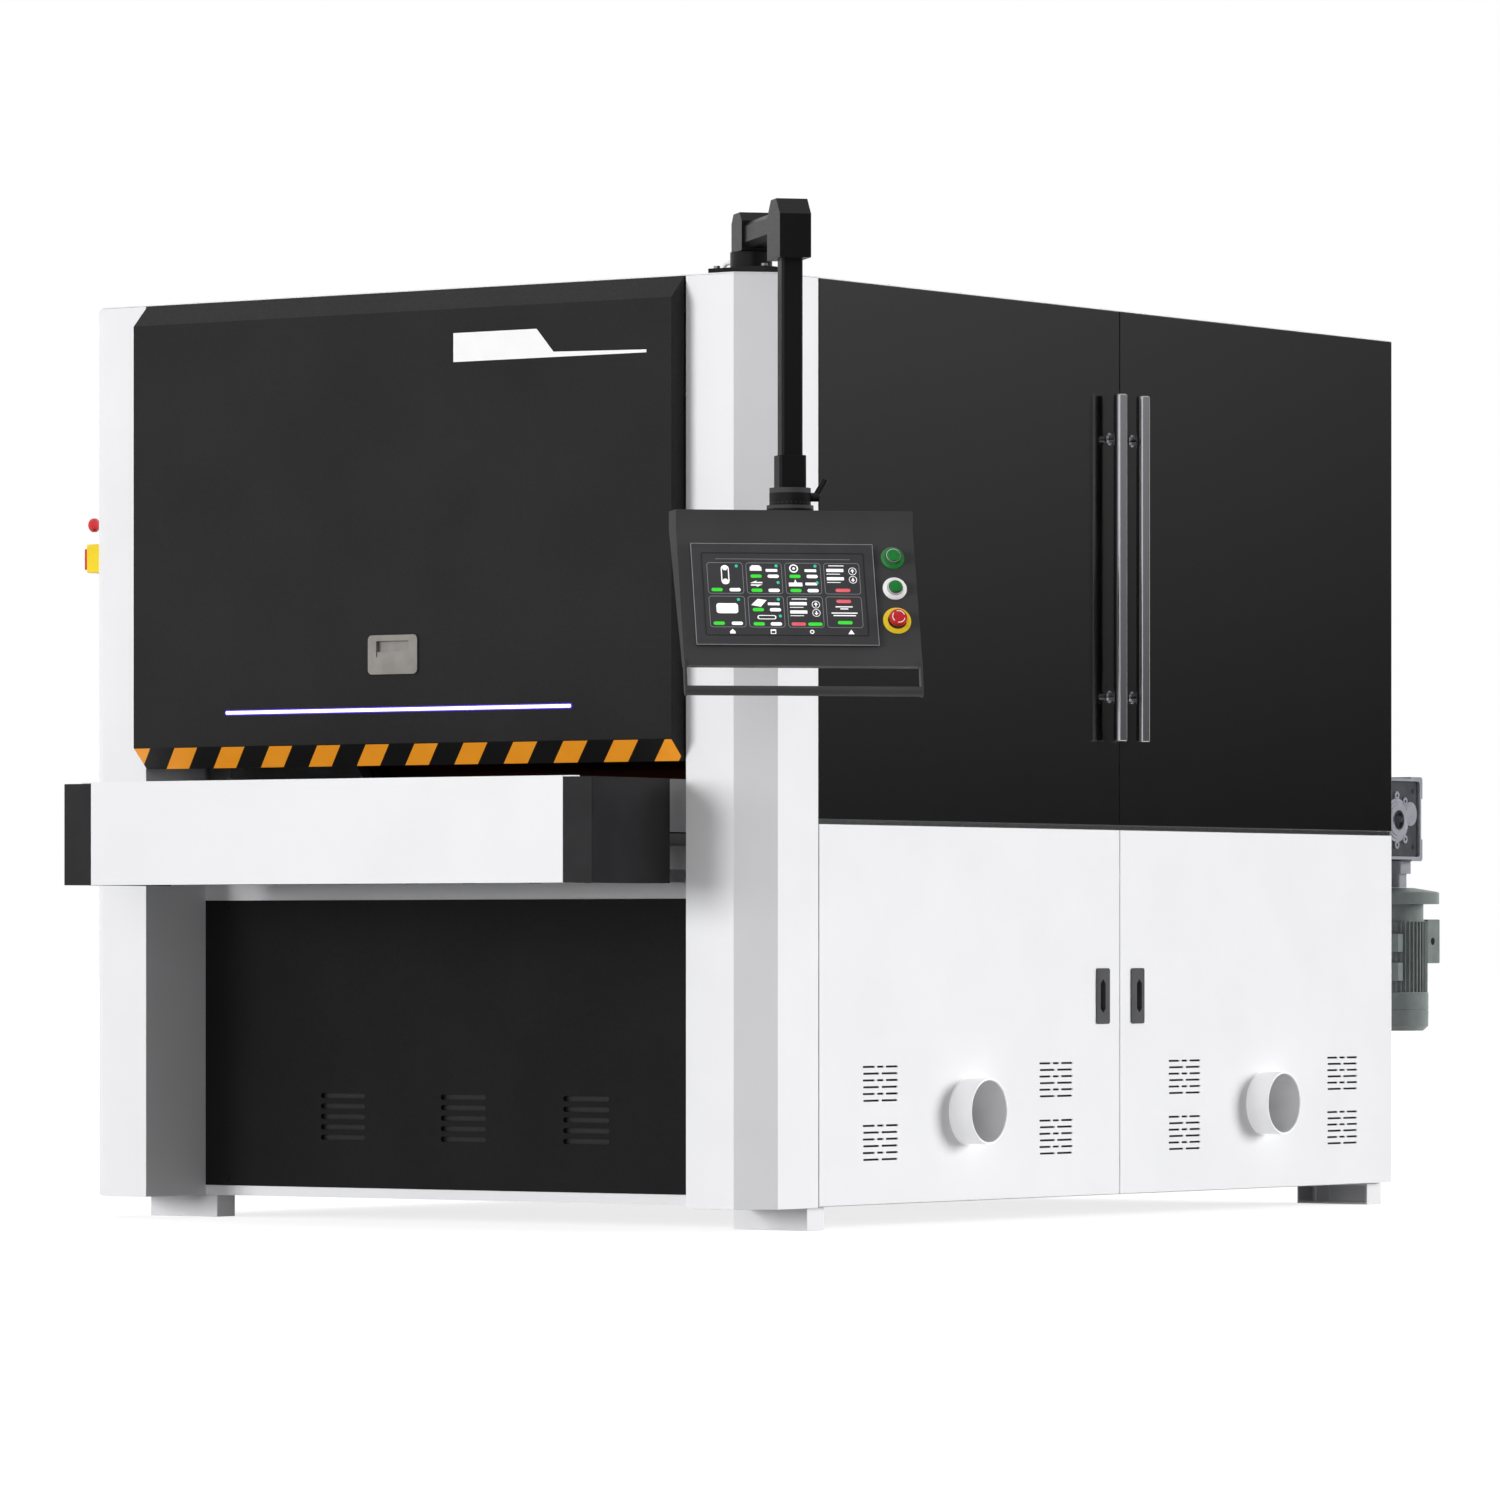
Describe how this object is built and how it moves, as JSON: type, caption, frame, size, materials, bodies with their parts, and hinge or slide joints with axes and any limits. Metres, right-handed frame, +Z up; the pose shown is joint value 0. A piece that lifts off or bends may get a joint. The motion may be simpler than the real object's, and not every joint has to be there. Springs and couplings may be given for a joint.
{
  "type": "wide belt drum sander",
  "caption": "Industrial wide-belt sanding machine with height-adjustable conveyor table, front hood, side doors and a control panel on a swing arm.",
  "frame": {"origin": "middle of the whole object's bounding box, on the floor", "axes": "+Z up; -Y towards the infeed side, where the table and the hood are; +Y the way the work is fed; +X towards the side with the four doors"},
  "size_m": [2.5558, 3.5646, 2.2893],
  "materials": {
    "white_paint": "textured satin powder coat",
    "black_paint": "satin powder coat",
    "black_gloss": "high gloss",
    "black_plastic": "satin",
    "steel": "polished",
    "alloy": "turned",
    "latch_metal": "satin metallic",
    "machine_grey": "grey machine enamel",
    "rubber": "matt",
    "abrasive": "coated abrasive cloth",
    "green_plastic": "gloss",
    "red_plastic": "gloss",
    "yellow_plastic": "satin"
  },
  "bodies": {
    "frame": {"base_frame": "white_paint", "frame_left": "white_paint", "frame_right": "white_paint", "front_rail": "white_paint", "column_left": "white_paint", "column_right": "white_paint", "roof_panel": "white_paint", "left_side_panel": "white_paint", "rear_panel": "white_paint", "front_lower_panel": "black_paint", "foot_front_left": "white_paint", "foot_front_right": "white_paint", "foot_rear_left": "white_paint", "foot_rear_right": "white_paint", "sanding_beam_front": "white_paint", "sanding_beam_rear": "white_paint", "abrasive_belt_front": "abrasive", "abrasive_belt_rear": "abrasive", "drive_belt_front": "rubber", "drive_belt_rear": "rubber", "main_motor": "machine_grey", "isolator_body": "yellow_plastic", "arm_base": "black_paint"},
    "hood": {"front_hood": "black_paint"},
    "latch": {"hood_latch": "latch_metal"},
    "upper_front_door_leaf": {"upper_front_door": "black_gloss", "front_door_handle": "steel"},
    "upper_rear_door_leaf": {"upper_rear_door": "black_gloss", "rear_door_handle": "steel"},
    "lower_front_door_leaf": {"lower_front_door": "white_paint", "front_door_pull": "black_plastic"},
    "lower_rear_door_leaf": {"lower_rear_door": "white_paint", "rear_door_pull": "black_plastic"},
    "table": {"table_bed": "white_paint", "table_front_panel": "white_paint", "table_cap_left": "black_plastic", "table_cap_right": "black_plastic", "conveyor_belt": "rubber", "worm_gearbox": "machine_grey", "conveyor_motor": "machine_grey", "lift_screw_front_left": "steel", "lift_screw_front_right": "steel", "lift_screw_rear_left": "steel", "lift_screw_rear_right": "steel"},
    "drive_roller": {"conveyor_drive_roller": "steel"},
    "idler_roller": {"conveyor_idler_roller": "steel"},
    "drum_front": {"contact_drum_front": "rubber"},
    "drum_rear": {"contact_drum_rear": "rubber"},
    "tension_front": {"tension_roller_front": "alloy"},
    "tension_rear": {"tension_roller_rear": "alloy"},
    "pulley": {"motor_pulley": "steel"},
    "knob": {"isolator_knob": "red_plastic"},
    "side_stop": {"side_estop_button": "red_plastic"},
    "arm": {"swing_arm": "black_paint"},
    "panel": {"panel_housing": "black_paint", "hmi_screen": "black_plastic"},
    "start": {"start_button": "green_plastic"},
    "feed": {"feed_button": "green_plastic"},
    "panel_stop": {"panel_estop_button": "red_plastic"},
    "lever": {"lock_lever": "black_plastic"}
  },
  "joints": [
    {"name": "hood_hinge", "type": "hinge", "parent": "frame", "child": "hood", "pos_m": [-0.21631, -1.32473, 2.1435], "axis": [-1, 0, 0], "range_deg": [0, 80]},
    {"name": "hood_latch_flap", "type": "hinge", "parent": "hood", "child": "latch", "pos_m": [-0.22431, -1.37403, 1.356], "axis": [-1, 0, 0], "range_deg": [0, 25], "stiffness_Nm_per_rad": 2},
    {"name": "upper_front_door_hinge", "type": "hinge", "parent": "frame", "child": "upper_front_door_leaf", "pos_m": [0.77269, -1.09173, 0.928], "axis": [0, 0, -1], "range_deg": [0, 95]},
    {"name": "upper_rear_door_hinge", "type": "hinge", "parent": "frame", "child": "upper_rear_door_leaf", "pos_m": [0.77269, 1.38427, 0.928], "axis": [0, 0, 1], "range_deg": [0, 110]},
    {"name": "lower_front_door_hinge", "type": "hinge", "parent": "frame", "child": "lower_front_door_leaf", "pos_m": [0.77269, -1.09173, 0.055], "axis": [0, 0, -1], "range_deg": [0, 95]},
    {"name": "lower_rear_door_hinge", "type": "hinge", "parent": "frame", "child": "lower_rear_door_leaf", "pos_m": [0.77269, 1.38427, 0.055], "axis": [0, 0, 1], "range_deg": [0, 110]},
    {"name": "table_lift", "type": "slide", "parent": "frame", "child": "table", "axis": [0, 0, 1], "range_m": [-0.1, 0]},
    {"name": "conveyor_drive", "type": "hinge", "parent": "table", "child": "drive_roller", "pos_m": [-0.21631, 1.57427, 0.9595], "axis": [1, 0, 0], "continuous": true},
    {"name": "conveyor_idler", "type": "hinge", "parent": "table", "child": "idler_roller", "pos_m": [-0.21631, -1.55673, 0.9595], "axis": [1, 0, 0], "continuous": true},
    {"name": "drum_front_spin", "type": "hinge", "parent": "frame", "child": "drum_front", "pos_m": [-0.21631, -0.47173, 1.1468], "axis": [1, 0, 0], "continuous": true},
    {"name": "drum_rear_spin", "type": "hinge", "parent": "frame", "child": "drum_rear", "pos_m": [-0.21631, 0.52827, 1.1468], "axis": [1, 0, 0], "continuous": true},
    {"name": "tension_front_spin", "type": "hinge", "parent": "frame", "child": "tension_front", "pos_m": [-0.21631, -0.47173, 1.88], "axis": [1, 0, 0], "continuous": true},
    {"name": "tension_rear_spin", "type": "hinge", "parent": "frame", "child": "tension_rear", "pos_m": [-0.21631, 0.52827, 1.88], "axis": [1, 0, 0], "continuous": true},
    {"name": "pulley_spin", "type": "hinge", "parent": "frame", "child": "pulley", "pos_m": [-0.91631, 0.02827, 0.36], "axis": [1, 0, 0], "continuous": true},
    {"name": "isolator_turn", "type": "hinge", "parent": "frame", "child": "knob", "pos_m": [-1.24931, -1.21173, 1.563], "axis": [-1, 0, 0], "range_deg": [0, 90]},
    {"name": "side_stop_press", "type": "slide", "parent": "frame", "child": "side_stop", "axis": [1, 0, 0], "range_m": [0, 0.004], "stiffness_N_per_m": 900, "springref_m": -0.002},
    {"name": "arm_swing", "type": "hinge", "parent": "frame", "child": "arm", "pos_m": [0.66769, -1.20673, 2.2], "axis": [0, 0, -1], "range_deg": [-60, 20]},
    {"name": "panel_swivel", "type": "hinge", "parent": "arm", "child": "panel", "pos_m": [0.95317, -1.45753, 1.62], "axis": [0, 0, 1], "range_deg": [-45, 45]},
    {"name": "start_press", "type": "slide", "parent": "panel", "child": "start", "axis": [-0.6556, 0.6556, -0.3746], "range_m": [0, 0.004], "stiffness_N_per_m": 500, "springref_m": -0.002},
    {"name": "feed_press", "type": "slide", "parent": "panel", "child": "feed", "axis": [-0.6556, 0.6556, -0.3746], "range_m": [0, 0.004], "stiffness_N_per_m": 500, "springref_m": -0.002},
    {"name": "panel_stop_press", "type": "slide", "parent": "panel", "child": "panel_stop", "axis": [-0.6556, 0.6556, -0.3746], "range_m": [0, 0.004], "stiffness_N_per_m": 900, "springref_m": -0.002},
    {"name": "lock_lever_turn", "type": "hinge", "parent": "panel", "child": "lever", "pos_m": [0.99284, -1.41786, 1.632], "axis": [0.7071, 0.7071, 0], "range_deg": [-60, 60]}
  ],
  "couplings": [
    {"joint": "conveyor_idler", "follows": "conveyor_drive", "ratio": 1},
    {"joint": "drum_rear_spin", "follows": "drum_front_spin", "ratio": 1},
    {"joint": "tension_front_spin", "follows": "drum_front_spin", "ratio": 2},
    {"joint": "tension_rear_spin", "follows": "drum_front_spin", "ratio": 2},
    {"joint": "pulley_spin", "follows": "drum_front_spin", "ratio": 1.25}
  ]
}
